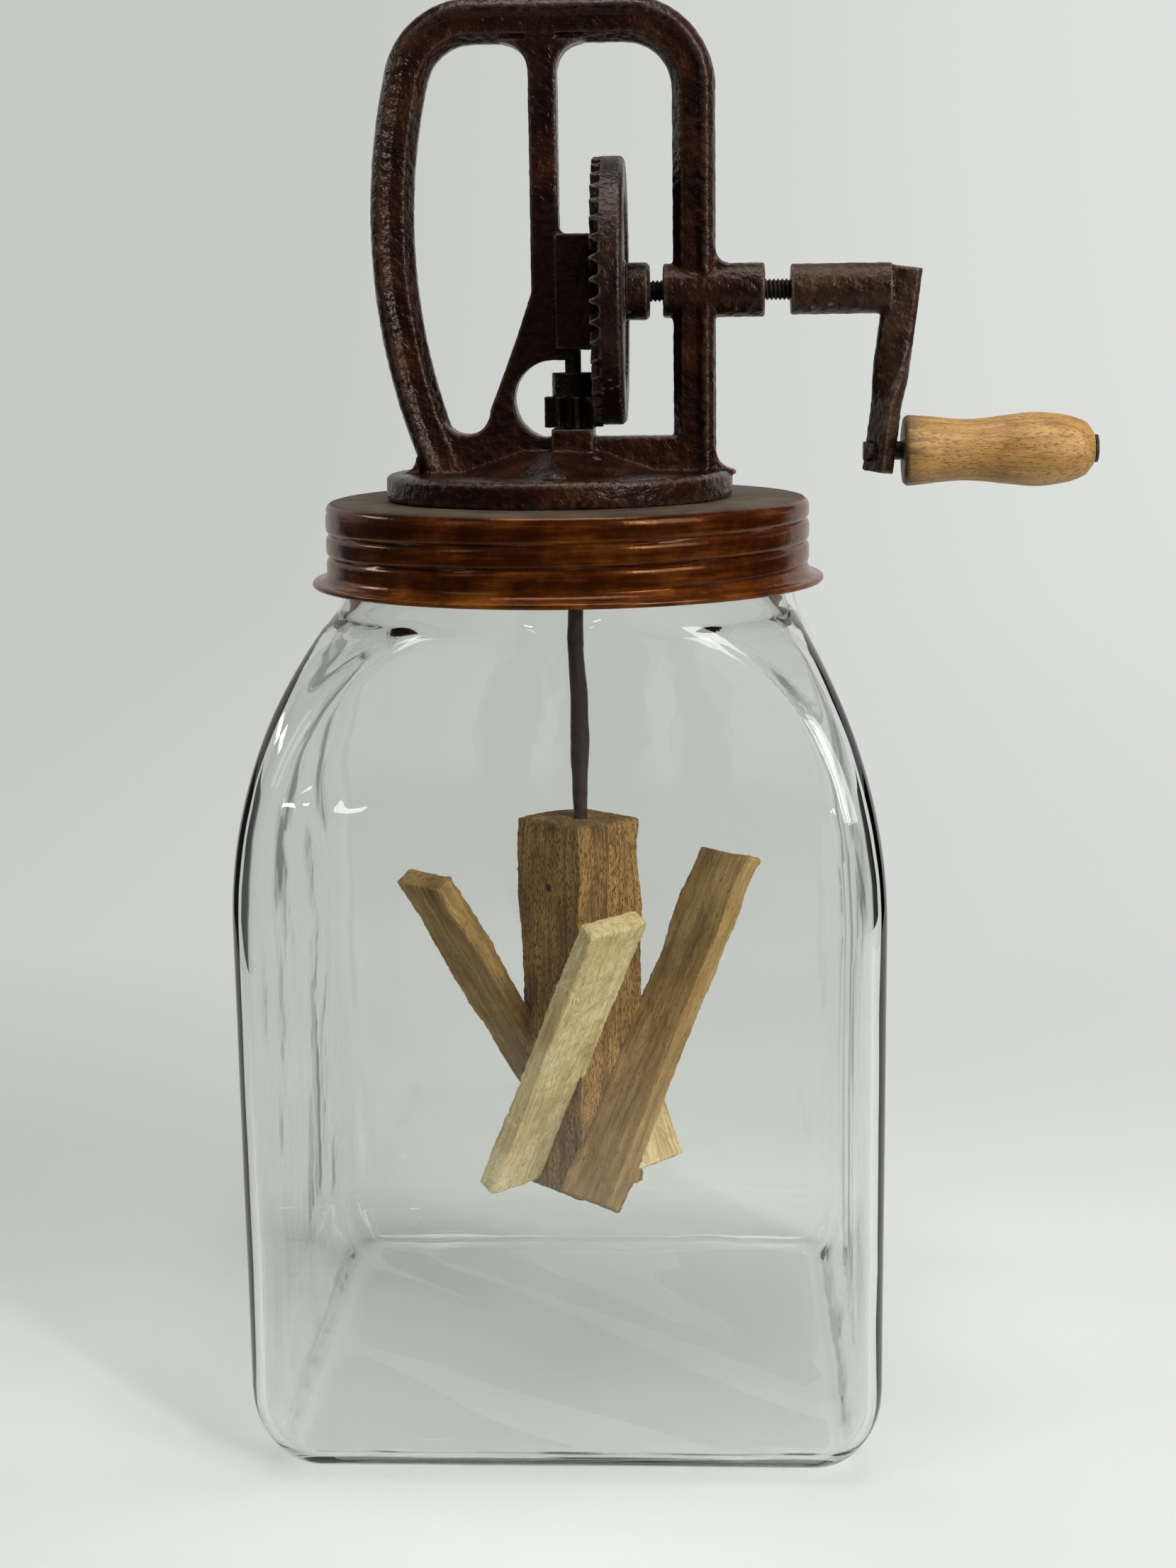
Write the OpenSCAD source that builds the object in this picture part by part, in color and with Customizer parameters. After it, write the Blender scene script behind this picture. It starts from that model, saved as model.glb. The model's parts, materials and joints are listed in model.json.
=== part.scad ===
// Hand-cranked glass butter churn: a square glass jar, a screw lid, a cast gear frame and a wooden dasher.
// The origin is the middle of the jar's foot. +Z is up and +X points to the crank.

/* [Jar] */
// Width of the square jar across its flat sides
jar_w = 185; // [170:1:200]
// Height of the jar from its foot to its rim
jar_h = 276; // [262:1:300]
// Radius of the upright corners
jar_corner_r = 12; // [9:1:18]
// Thickness of the glass wall
glass_t = 4; // [3:0.5:5]
// Thickness of the jar's floor
floor_t = 5; // [4:0.5:9]
// Height over which the heel curves in
heel_h = 26; // [20:1:32]
// Radius of the heel's curve
heel_r = 40; // [36:1:60]
// Height of the shoulder, from the straight sides to the neck
shoulder_rise = 81; // [72:1:94]
// Outside diameter of the round neck
neck_d = 139; // [136:1:146]
// Height of the neck, from the shoulder to the rim
neck_h = 30; // [27:1:34]
// How far the corner dome stands outside the upright corner where it begins
dome_over = 3.6; // [2:0.2:6]

/* [Lid] */
// Thickness of the lid's sheet metal
sheet_t = 0.9; // [0.6:0.1:1.2]
// Height of the lid from its flared rim to its top
lid_h = 25.5; // [23:0.5:27]
// Room between the neck and the inside of the thread rolls
thread_room = 2.4; // [1.5:0.1:3]
// Depth of the two rolled thread grooves
roll_depth = 1.2; // [0.8:0.1:1.6]
// Pitch of the rolled thread
roll_pitch = 6.8; // [6:0.1:7.2]
// Width of the flared rim outside the skirt
flare_w = 4.5; // [3:0.5:6]
// Thickness of the sealing liner
liner_t = 2.3; // [1.5:0.1:3]
// Radial width of the sealing liner
liner_w = 7; // [6:0.5:9]

/* [Frame] */
// Distance of the frame's middle from the jar's axis
frame_x = -2.2; // [-4:0.1:0]
// Diameter of the foot plate
plate_d = 105.6; // [104:0.2:110]
// Thickness of the foot plate
plate_t = 8; // [6:0.5:10]
// Height of the hoop's top above the foot plate
hoop_h = 138.5; // [132:0.5:150]
// Width of the hoop's bar, seen from the front
bar_w = 12.8; // [11:0.2:14]
// Depth of the hoop's bar, front to back
bar_d = 15; // [13:0.5:18]
// Distance of the left limb from the frame's middle at its widest
bow_x = 49.1; // [47:0.1:51]
// Distance of the left limb from the frame's middle at its foot
bow_foot_x = 34.3; // [33:0.1:36]
// Height of the left limb's widest point above the plate
bow_h = 72.5; // [68:0.5:76]
// Distance of the right limb from the frame's middle
limb_x = 41.5; // [40:0.1:44]
// Radius of the hoop's upper corners along the bar's middle
hoop_corner_r = 20; // [17:0.5:24]
// Width of the middle post
post_w = 8.4; // [8:0.2:10]
// Height of the rod's pedestal above the chord between the limbs
pedestal_over = 2.6; // [2:0.2:4]
// Width of the rod's pedestal
pedestal_w = 12.6; // [11:0.2:12.8]
// Height of the bearing block
block_h = 34; // [32:0.5:36]
// Width of the bearing block
block_w = 13; // [12:0.5:14]
// Depth of the bearing block, front to back
block_d = 20; // [18:0.5:24]
// Diameter of the right-hand shaft boss
boss_d = 16; // [14:0.5:18]
// Length of the right-hand shaft boss
boss_len = 30.5; // [26:0.5:34]
// Diameter of the frame screws
screw_d = 4; // [3:0.5:5]
// Distance of each frame screw from the frame's middle
screw_y = 43; // [41:0.5:45]

/* [Gears] */
// Distance of the upright rod from the jar's axis
rod_x = 2.4; // [1.8:0.1:3]
// Diameter of the upright rod
rod_d = 4.9; // [4.4:0.1:5.5]
// Height of the drive shaft above the plate
shaft_h = 53.5; // [53:0.1:55]
// Diameter of the drive shaft
shaft_d = 6.4; // [5.6:0.2:7]
// Number of teeth on the crown wheel
wheel_teeth = 40; // [38:1:42]
// Number of teeth on the pinion
pinion_teeth = 9; // [8:1:10]
// Radius from the shaft at which the teeth mesh
mesh_r = 35; // [34:0.2:36]
// Diameter of the crown wheel
wheel_d = 79.2; // [76:0.2:79.4]
// Radial length of the crown wheel's teeth
wheel_face = 8; // [6:0.5:8.5]
// Height of the crown wheel's V teeth
tooth_h = 2.9; // [2.5:0.1:3.2]
// Thickness of the crown wheel's rim behind the teeth
rim_t = 6.8; // [6:0.2:8]
// Height of the pinion's teeth along the rod
pinion_face = 9.2; // [8:0.2:10]
// Distance of the pinion's middle below the circle at which the teeth mesh
pinion_low = 0.6; // [0.2:0.1:1.6]
// Diameter of the pinion's hub
pinion_hub_d = 12.8; // [11:0.2:13]
// Height of the pinion's hub above its teeth
pinion_hub_h = 7.2; // [6:0.2:8]
// Diameter of the wheel's lock nut
nut_d = 17; // [14:0.5:19]
// Thickness of the wheel's lock nut
nut_t = 7.2; // [5:0.2:8]

/* [Crank] */
// Distance between the boss and the crank's hub, where the shaft's thread shows
thread_show = 7.8; // [5:0.2:10]
// Diameter of the crank's hub
hub_d = 15; // [13:0.2:17]
// Length of the crank's hub
hub_len = 30; // [26:0.5:34]
// Distance from the shaft to the grip's spindle
crank_throw = 48.4; // [44:0.2:54]
// Width of the arm, seen from the front
arm_w = 10.8; // [9:0.2:12]
// Thickness of the arm, front to back
arm_t = 6; // [5:0.2:7]
// Lean of the arm towards the jar
arm_lean = 7; // [4:0.1:9]
// Twist of the arm between its hub and its grip
arm_twist = 62; // [45:1:75]
// Length of the wooden grip
grip_len = 57.5; // [52:0.5:70]
// Diameter of the grip at the arm
grip_root_d = 21.4; // [20:0.2:24]
// Diameter of the grip at its waist
grip_waist_d = 18.6; // [17:0.2:20]
// Diameter of the grip at its belly
grip_belly_d = 22.2; // [21:0.2:26]
// Diameter of the grip's flat nose
grip_nose_d = 9.4; // [9:0.2:11]
// Diameter of the grip's spindle
spindle_d = 5.6; // [5:0.2:6]

/* [Dasher] */
// Side of the square wooden block
block_side = 26.5; // [24:0.5:28]
// Length of the wooden block
block_len = 120; // [110:1:130]
// Height of the block's lower end above the jar's foot
block_z = 59; // [52:1:66]
// Depth of the rod in the block
rod_in_block = 40; // [34:1:50]
// Radial width of the paddles
paddle_w = 22; // [18:0.5:24]
// Thickness of the paddles
paddle_t = 6.5; // [5:0.5:8]
// Length of the pale paddles
pale_len = 106; // [98:1:112]
// Length of the brown paddles
brown_len = 119; // [112:1:126]
// Tilt of the pale paddles on the faces of the block
pale_tilt = 28; // [25:0.5:31]
// Tilt of the brown paddles on the faces of the block
brown_tilt = 32; // [29:0.5:35]
// Height of the pale paddles' middle above the jar's foot
pale_mid_z = 109; // [104:1:113]
// Height of the brown paddles' middle above the jar's foot
brown_mid_z = 113; // [108:1:117]
// Shift of the paddles' middle along the face of the block
paddle_shift = 14; // [12:0.5:15]
// Depth of the slots that hold the paddles
slot_depth = 2.4; // [1.5:0.1:4]
// Diameter of the two cross pins
pin_d = 2; // [1.5:0.1:2.5]

/* [Fits] */
// Radial clearance of turning shafts
run_fit = 0.06; // [0.04:0.01:0.1]
// Clearance of pieces that are fixed in each other
seat_fit = 0.02; // [0.01:0.01:0.04]
// Gap between pieces that move past each other
rest_gap = 0.3; // [0.25:0.05:0.4]

/* [Hidden] */
$fn = 96;
// Overlap of one cut past a face
over = 1;

// Jar: the shoulder's arc runs from the flat side to the neck, and the dome's arc rounds the corners off
jar_half = jar_w / 2;
neck_r = neck_d / 2;
neck_z = jar_h - neck_h;
shoulder_run = jar_half - neck_r;
shoulder_z = neck_z - shoulder_rise;
shoulder_r = (shoulder_rise ^ 2 + shoulder_run ^ 2) / (2 * shoulder_run);
corner_reach = (jar_half - jar_corner_r) * sqrt(2) + jar_corner_r;
dome_reach = corner_reach + dome_over;
dome_run = dome_reach - neck_r;
dome_rise = shoulder_rise + neck_h / 5;
dome_r = (dome_rise ^ 2 + dome_run ^ 2) / (2 * dome_run);
rim_round = glass_t / 2;

// Lid: it sits on the liner, and its skirt stands clear of the neck
liner_z = jar_h + rest_gap;
lid_under = liner_z + liner_t;
lid_top = lid_under + sheet_t;
lid_r = neck_r + thread_room + roll_depth + sheet_t;
lid_z = lid_top - lid_h;
roll_r = roll_pitch * 0.28;
roll_z = [lid_top - roll_pitch * 1.2, lid_top - roll_pitch * 2.2];
flare_r = lid_r + flare_w;
flare_t = 2 * sheet_t;
rod_hole_d = rod_d + 3;

// Frame: heights are counted from the plate's top
plate_r = plate_d / 2;
plate_z = lid_top;
plate_top = plate_z + plate_t;
pedestal_h = shaft_h - mesh_r - pinion_low - pinion_face / 2 - rest_gap;
chord_h = pedestal_h - pedestal_over;
plate_round = 1.6;
mound_r = plate_r * 0.56;
mound_h = chord_h * 0.6;
hoop_mid_z = hoop_h - bar_w / 2;
bow_in = bow_x - bow_foot_x;
bow_r = (bow_h ^ 2 + bow_in ^ 2) / (2 * bow_in);
bow_c = [bow_r - bow_x, bow_h];
left_corner_z = hoop_mid_z - hoop_corner_r;
left_corner_x = bow_c.x - sqrt((bow_r - hoop_corner_r) ^ 2 - (left_corner_z - bow_c.y) ^ 2);
bow_top_angle = asin((left_corner_z - bow_c.y) / (bow_r - hoop_corner_r));
bow_foot_angle = asin(bow_c.y / bow_r);
right_corner_x = limb_x - hoop_corner_r;
// The hoop's corners are cast a little fuller than its bars, which run a short way into them
corner_full = 1.012;
bar_lap = 0.5;
bow_lap_angle = bar_lap / bow_r * 180 / PI;
rod_u = rod_x - frame_x;
block_u = rod_u + 1.9;
post_u = block_u - block_w / 2 - post_w / 2 + 1;
fillet_r = 8;
web_d = bar_d * 0.7;
left_window_r = 7.2;
left_window_u = -bow_foot_x + bar_w / 2 + 0.2;
left_window_z = chord_h + left_window_r + 1;
leg_sweep = 5;
pinion_clear_r = 11.8;
pinion_clear_u = rod_u - 5.9;
pinion_clear_z = chord_h + pinion_clear_r - 0.5;
boss_end_u = limb_x - bar_w / 2 - 3 + boss_len;
boss_start_u = boss_end_u - boss_len;
rod_top = shaft_h - shaft_d / 2 - 4.6;
screw_head_d = screw_d * 1.7;
screw_head_h = screw_d * 0.6;
nut_h = screw_d * 0.8;
screw_nut_d = screw_d * 2;

// Gear train: the pinion's pitch circle rolls on the crown wheel's mesh circle
shaft_z = plate_top + shaft_h;
pinion_pitch_r = mesh_r * pinion_teeth / wheel_teeth;
addendum = 1.25;
pinion_tip_r = pinion_pitch_r + addendum;
pinion_root_r = pinion_pitch_r - addendum - 0.45;
wheel_tip_x = rod_x + pinion_pitch_r - addendum;
wheel_face_x = wheel_tip_x + tooth_h;
wheel_back_x = wheel_face_x + rim_t;
wheel_r = wheel_d / 2;
wheel_pitch = 360 / wheel_teeth;
tooth_root_w = 2 * PI * (wheel_r - wheel_face) / wheel_teeth * 0.66;
tooth_tip_w = 0.7;
rim_w = wheel_face + 2;
web_t = 4;
wheel_hub_d = nut_d * 1.1;
pinion_z = plate_top + pedestal_h + rest_gap;
pinion_hub_z = pinion_z + pinion_face;
pinion_pitch = 2 * PI * pinion_pitch_r / pinion_teeth;
pinion_tooth_w = [pinion_pitch * 0.54, pinion_pitch * 0.2];
shaft_start = frame_x + block_u - block_w / 2 + 3.5;
nut_x = wheel_back_x;

// Crank: the arm drops from the end of the hub and carries the grip on its spindle
hub_x = frame_x + boss_end_u + thread_show;
arm_x = hub_x + hub_len;
arm_mid_x = arm_x + arm_w * 0.3;
grip_z = shaft_z - crank_throw;
arm_top = hub_d * 0.42;
arm_edge = arm_t * 0.22;
arm_len = (crank_throw + grip_root_d * 0.3) / cos(arm_lean) + arm_top;
arm_flat = arm_len * 0.36;
arm_turn = arm_len * 0.3;
arm_foot_x = arm_mid_x - crank_throw * tan(arm_lean);
arm_foot_half = (arm_w * cos(arm_twist) + arm_t * sin(arm_twist)) / 2;
grip_x = arm_foot_x + arm_foot_half + grip_root_d / 2 * tan(arm_lean) + rest_gap;
spindle_start = arm_foot_x - arm_foot_half;
spindle_head_d = grip_nose_d - 1;
spindle_head_t = 0.8;
shaft_end = hub_x + hub_len * 0.75;
grip_points = 24;

// Dasher
rod_low = block_z + block_len - rod_in_block;
paddle_x = block_side / 2 - slot_depth;
block_pin_z = block_z + block_len - rod_in_block / 2;
pinion_pin_z = pinion_hub_z + pinion_hub_h / 2;

// Rounded square of half width h and corner radius r
module round_square(h, r) {
    square([2 * h, 2 * (h - r)], center = true);
    square([2 * (h - r), 2 * h], center = true);
    for (sx = [-1, 1], sy = [-1, 1])
        translate([sx * (h - r), sy * (h - r)]) circle(r);
}

// Side view of the jar's body, drawn inwards by t: heel, straight side and shoulder
module side_view(t) {
    half = jar_half - t;
    translate([-half, heel_h]) square([2 * half, shoulder_z - heel_h]);
    intersection() {
        translate([-half, shoulder_z]) square([2 * half, jar_h - shoulder_z]);
        translate([jar_half - shoulder_r, shoulder_z]) circle(shoulder_r - t, $fn = 360);
        translate([shoulder_r - jar_half, shoulder_z]) circle(shoulder_r - t, $fn = 360);
    }
    intersection() {
        translate([-half, 0]) square([2 * half, heel_h]);
        union() {
            translate([heel_r - jar_half, 0]) square([jar_w - 2 * heel_r, heel_h]);
            for (side = [-1, 1])
                translate([side * (jar_half - heel_r), heel_h]) circle(heel_r - t, $fn = 180);
        }
    }
}

// Body of the jar drawn inwards by t: flat sides from both directions, under one round dome
module jar_form(t) {
    intersection() {
        linear_extrude(jar_h) round_square(jar_half - t, jar_corner_r - t);
        rotate([90, 0, 0]) translate([0, 0, -jar_w]) linear_extrude(2 * jar_w) side_view(t);
        rotate([90, 0, 90]) translate([0, 0, -jar_w]) linear_extrude(2 * jar_w) side_view(t);
        rotate_extrude() {
            square([dome_reach - t, shoulder_z]);
            intersection() {
                translate([0, shoulder_z]) square([dome_reach, dome_r]);
                union() {
                    translate([dome_reach - dome_r, shoulder_z]) circle(dome_r - t, $fn = 180);
                    translate([0, shoulder_z]) square([dome_reach - dome_r, dome_r - t]);
                }
            }
        }
    }
}

module glass_jar() {
    color([0.82, 0.88, 0.87, 0.45])
    difference() {
        union() {
            jar_form(0);
            rotate_extrude() {
                translate([0, shoulder_z]) square([neck_r, jar_h - rim_round - shoulder_z]);
                translate([neck_r - rim_round, jar_h - rim_round]) circle(rim_round);
                translate([0, jar_h - 2 * rim_round]) square([neck_r - rim_round, 2 * rim_round]);
            }
        }
        intersection() {
            jar_form(glass_t);
            translate([-jar_w, -jar_w, floor_t]) cube([2 * jar_w, 2 * jar_w, jar_h]);
        }
        translate([0, 0, neck_z - neck_h / 2]) cylinder(r = neck_r - glass_t, h = jar_h);
    }
}

// Half section of the lid's skirt, drawn inwards by t, with the two rolled grooves
module lid_section(t) {
    difference() {
        union() {
            translate([0, lid_z - over]) square([lid_r - t, lid_top - lid_z - 2.5 + over]);
            translate([lid_r - 2.5, lid_top - 2.5]) circle(2.5 - t);
            translate([0, lid_top - 2.5]) square([lid_r - 2.5, 2.5 - t]);
        }
        for (z = roll_z)
            translate([lid_r + roll_r - roll_depth, z]) circle(roll_r + t);
    }
}

module screw_lid() {
    color("sienna")
    difference() {
        union() {
            rotate_extrude() {
                intersection() {
                    lid_section(0);
                    translate([0, lid_z]) square([2 * lid_r, lid_h]);
                }
                difference() {
                    translate([lid_r - sheet_t, lid_z]) square([flare_w - flare_t / 2 + sheet_t, flare_w]);
                    translate([flare_r - flare_t / 2, lid_z + flare_w + flare_t / 2]) circle(flare_w);
                }
                translate([flare_r - flare_t / 2, lid_z + flare_t / 2]) circle(flare_t / 2);
            }
        }
        rotate_extrude() lid_section(sheet_t);
        translate([rod_x, 0, lid_z]) cylinder(d = rod_hole_d, h = lid_h + over);
        frame_screw_places(lid_z) cylinder(d = screw_d + 2 * seat_fit, h = lid_h + over);
    }
}

module lid_liner() {
    color("tan")
    translate([0, 0, liner_z])
    difference() {
        cylinder(r = neck_r + thread_room / 2, h = liner_t);
        translate([0, 0, -over]) cylinder(r = neck_r + thread_room / 2 - liner_w, h = liner_t + 2 * over);
    }
}

// Places its children at the two frame screws, at height z
module frame_screw_places(z) {
    for (side = [-1, 1])
        translate([frame_x + 1, side * screw_y, z]) children();
}

// Section of the hoop's bar: a round bead along its outer side at -x, a flat band, and an inner wall that tapers
module bar_section() {
    front = [[-0.5, 0.22], [-0.44, 0.38], [-0.3, 0.5], [-0.16, 0.47], [-0.06, 0.4], [0.3, 0.38], [0.5, 0.1]];
    polygon(concat([for (p = front) [p.x * bar_w, -p.y * bar_d]],
        [for (i = [len(front) - 1 : -1 : 0]) [front[i].x * bar_w, front[i].y * bar_d]]));
}

// Part of the hoop's bar along an arc of radius r about centre c, from angle a to angle b, in the front view
module bar_arc(c, r, a, b, full = 1) {
    translate([c.x, 0, c.y]) rotate([90, 0, 0]) rotate([0, 0, a])
        rotate_extrude(angle = b - a, $fn = 360) translate([r, 0]) scale(full) mirror([1, 0, 0]) bar_section();
}

// Plate drawn in the front view, of depth d front to back
module front_plate(d) {
    rotate([90, 0, 0]) translate([0, 0, -d / 2]) linear_extrude(d) children();
}

// Hollow corner of radius r at point p, filling towards sx and sy
module corner_fill(p, r, sx, sy) {
    translate(p) scale([sx, sy]) difference() {
        translate([-over, -over]) square(r + over);
        translate([r, r]) circle(r);
    }
}

// Foot plate with its round edge and the shallow mound in its middle
module foot_plate() {
    rotate_extrude() {
        translate([0, -plate_t]) square([plate_r - plate_round, plate_t]);
        translate([0, plate_round - plate_t]) square([plate_r, plate_t - plate_round - 1]);
        translate([plate_r - plate_round, plate_round - plate_t]) circle(plate_round);
        polygon([[0, 0], [plate_r - plate_round, 0], [plate_r, -1], [0, -1]]);
        polygon([[0, 0], [mound_r, 0], [mound_r * 0.4, mound_h], [0, mound_h]]);
    }
}

// The hoop: bowed left limb, rounded top and straight right limb
module hoop() {
    bar_arc(bow_c, bow_r, 180 - bow_top_angle - bow_lap_angle, 180 + bow_foot_angle);
    bar_arc([left_corner_x, left_corner_z], hoop_corner_r, 90, 180 - bow_top_angle, corner_full);
    translate([left_corner_x - bar_lap, 0, hoop_mid_z]) rotate([0, 90, 0])
        linear_extrude(right_corner_x - left_corner_x + 2 * bar_lap) bar_section();
    bar_arc([right_corner_x, left_corner_z], hoop_corner_r, 0, 90, corner_full);
    translate([limb_x, 0, 0]) linear_extrude(left_corner_z + bar_lap) mirror([1, 0, 0]) bar_section();
}

// Chord, leg and fillets between the limbs, in the front view
module web_outline() {
    translate([-bow_foot_x, -over]) square([bow_foot_x + limb_x, chord_h + over]);
    difference() {
        translate([-bow_foot_x, 0]) square([left_window_u + bow_foot_x + left_window_r + 1, left_window_z]);
        translate([left_window_u, left_window_z]) circle(left_window_r);
    }
    difference() {
        polygon([[left_window_u + left_window_r, 0], [left_window_u + left_window_r, left_window_z],
            [post_u - post_w / 2 - leg_sweep, shaft_h - block_h * 0.42],
            [post_u - post_w / 2, shaft_h], [block_u, shaft_h], [block_u, shaft_h - block_h / 2],
            [pinion_clear_u, chord_h]]);
        translate([pinion_clear_u, pinion_clear_z]) circle(pinion_clear_r);
        translate([pinion_clear_u, pinion_clear_z - pinion_clear_r])
            square([pinion_clear_r * 1.5, 2 * pinion_clear_r]);
    }
    translate([post_u - post_w / 2, shaft_h]) square([post_w, hoop_mid_z - shaft_h]);
    corner_fill([post_u - post_w / 2, hoop_h - bar_w], fillet_r, -1, -1);
    corner_fill([post_u + post_w / 2, hoop_h - bar_w], fillet_r, 1, -1);
    corner_fill([post_u + post_w / 2, shaft_h + block_h / 2], fillet_r / 3, 1, 1);
    corner_fill([-bow_foot_x - bar_w * 0.72, 0], fillet_r * 0.6, -1, 1);
    corner_fill([limb_x + bar_w / 2, 0], fillet_r * 0.75, 1, 1);
    corner_fill([limb_x + bar_w / 2, shaft_h + boss_d / 2], fillet_r / 2, 1, 1);
}

// Bearing block beside the post, with the edges on its gear side broken
module bearing_block() {
    edge = block_w * 0.16;
    u = block_w / 2;
    v = block_d / 2;
    translate([block_u, 0, shaft_h - block_h / 2]) linear_extrude(block_h)
        polygon([[-u, -v], [u - edge, -v], [u, -v + edge], [u, v - edge], [u - edge, v], [-u, v]]);
}

module gear_frame() {
    color("saddlebrown")
    translate([frame_x, 0, plate_top])
    difference() {
        union() {
            foot_plate();
            hoop();
            front_plate(web_d) web_outline();
            bearing_block();
            translate([boss_start_u, 0, shaft_h]) rotate([0, 90, 0]) cylinder(d = boss_d, h = boss_len);
            translate([rod_u - pedestal_w / 2, -pedestal_w * 0.8, 0])
                cube([pedestal_w, pedestal_w * 1.6, pedestal_h]);
        }
        translate([rod_u, 0, -plate_t - over])
            cylinder(r = rod_d / 2 + run_fit, h = plate_t + over + rod_top + rest_gap);
        translate([shaft_start - frame_x - rest_gap, 0, shaft_h]) rotate([0, 90, 0])
            cylinder(r = shaft_d / 2 + run_fit, h = boss_end_u + jar_w);
        translate([-frame_x, 0, 0]) frame_screw_places(-plate_t - over)
            cylinder(d = screw_d + 2 * seat_fit, h = plate_t + 2 * over);
    }
}

module frame_screws() {
    color("dimgray")
    frame_screw_places(plate_top) {
        intersection() {
            cylinder(d = screw_head_d, h = screw_head_h);
            translate([0, 0, screw_head_h - screw_head_d * 0.6]) sphere(d = screw_head_d * 1.2);
        }
        translate([0, 0, lid_under - nut_h - over - plate_top])
            cylinder(d = screw_d, h = plate_top - lid_under + nut_h + over);
    }
}

module frame_nuts() {
    color("gray")
    frame_screw_places(lid_under - nut_h)
    difference() {
        cylinder(d = screw_nut_d, h = nut_h, $fn = 6);
        translate([0, 0, -over]) cylinder(d = screw_d + 2 * seat_fit, h = nut_h + 2 * over, $fn = 48);
    }
}

module drive_shaft() {
    color("dimgray")
    translate([shaft_start, 0, shaft_z]) rotate([0, 90, 0]) cylinder(d = shaft_d, h = shaft_end - shaft_start);
}

// One V tooth of the crown wheel, standing on the wheel's face and pointing to -x, at the bottom of the wheel
module wheel_tooth() {
    translate([wheel_face_x, 0, -wheel_r + 0.2]) linear_extrude(wheel_face)
        polygon([[over, -tooth_root_w / 2], [0, -tooth_root_w / 2], [-tooth_h, -tooth_tip_w / 2],
            [-tooth_h, tooth_tip_w / 2], [0, tooth_root_w / 2], [over, tooth_root_w / 2]]);
}

module crown_wheel() {
    bevel = 1.2;
    color("maroon")
    translate([0, 0, shaft_z])
    difference() {
        union() {
            rotate([0, 90, 0]) rotate_extrude() {
                translate([wheel_r - rim_w, wheel_face_x])
                    polygon([[0, 0], [rim_w, 0], [rim_w, rim_t - bevel], [rim_w - bevel, rim_t], [0, rim_t]]);
                translate([0, wheel_back_x - web_t - 1]) square([wheel_r - 1, web_t]);
                translate([0, wheel_face_x + over]) square([wheel_hub_d / 2, rim_t - over]);
            }
            for (i = [0 : wheel_teeth - 1])
                rotate([wheel_pitch * (i + 0.5), 0, 0]) wheel_tooth();
        }
        translate([wheel_tip_x - over, 0, 0]) rotate([0, 90, 0])
            cylinder(r = shaft_d / 2 + seat_fit, h = rim_t + tooth_h + 2 * over);
    }
}

module wheel_nut() {
    bevel = 1;
    color("maroon")
    translate([nut_x, 0, shaft_z]) rotate([0, 90, 0]) rotate_extrude()
        translate([shaft_d / 2 + seat_fit, 0])
        polygon([[0, 0], [nut_d / 2 - shaft_d / 2, 0], [nut_d / 2 - shaft_d / 2, nut_t - bevel],
            [nut_d / 2 - shaft_d / 2 - bevel, nut_t], [0, nut_t]]);
}

// Section of the crank's arm, with broken edges
module arm_section() {
    u = arm_w / 2;
    v = arm_t / 2;
    polygon([[-u, -v + arm_edge], [-u + arm_edge, -v], [u - arm_edge, -v], [u, -v + arm_edge],
        [u, v - arm_edge], [u - arm_edge, v], [-u + arm_edge, v], [-u, v - arm_edge]]);
}

module crank_arm() {
    color("saddlebrown")
    difference() {
        union() {
            translate([hub_x, 0, shaft_z]) rotate([0, 90, 0]) cylinder(d = hub_d, h = hub_len);
            translate([arm_mid_x, 0, shaft_z]) rotate([0, arm_lean, 0]) translate([0, 0, arm_top])
            mirror([0, 0, 1]) {
                linear_extrude(arm_flat) arm_section();
                translate([0, 0, arm_flat])
                    linear_extrude(arm_turn, twist = arm_twist, slices = 12) arm_section();
                translate([0, 0, arm_flat + arm_turn]) rotate([0, 0, -arm_twist])
                    linear_extrude(arm_len - arm_flat - arm_turn) arm_section();
            }
        }
        translate([hub_x - over, 0, shaft_z]) rotate([0, 90, 0])
            cylinder(r = shaft_d / 2 + seat_fit, h = shaft_end - hub_x + over + seat_fit);
        translate([spindle_start - over, 0, grip_z]) rotate([0, 90, 0])
            cylinder(r = spindle_d / 2 + seat_fit, h = grip_x - spindle_start + over);
    }
}

module grip_spindle() {
    color("black")
    translate([spindle_start, 0, grip_z]) rotate([0, 90, 0]) {
        cylinder(d = spindle_d, h = grip_x + grip_len + rest_gap + over - spindle_start);
        translate([0, 0, grip_x + grip_len + rest_gap - spindle_start])
            cylinder(d = spindle_head_d, h = spindle_head_t);
    }
}

// Smooth step from 0 to 1 for t from 0 to 1
function ease(t) = t * t * (3 - 2 * t);
// Radius of the grip at share t of its length: root, waist, belly and nose
function grip_r(t) =
    t < 0.33 ? (grip_root_d + (grip_waist_d - grip_root_d) * ease(t / 0.33)) / 2 :
    t < 0.7 ? (grip_waist_d + (grip_belly_d - grip_waist_d) * ease((t - 0.33) / 0.37)) / 2 :
    (grip_nose_d + (grip_belly_d - grip_nose_d) * sqrt(max(0, 1 - ((t - 0.7) / 0.3) ^ 2))) / 2;

module crank_grip() {
    color("peru")
    translate([grip_x, 0, grip_z]) rotate([0, 90, 0])
    difference() {
        rotate_extrude() polygon(concat([[0, 0], [grip_r(0) - 1, 0]],
            [for (i = [0 : grip_points]) let (t = 0.02 + 0.98 * i / grip_points) [grip_r(t), t * grip_len]],
            [[0, grip_len]]));
        translate([0, 0, -over]) cylinder(r = spindle_d / 2 + run_fit, h = grip_len + 2 * over);
    }
}

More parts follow.
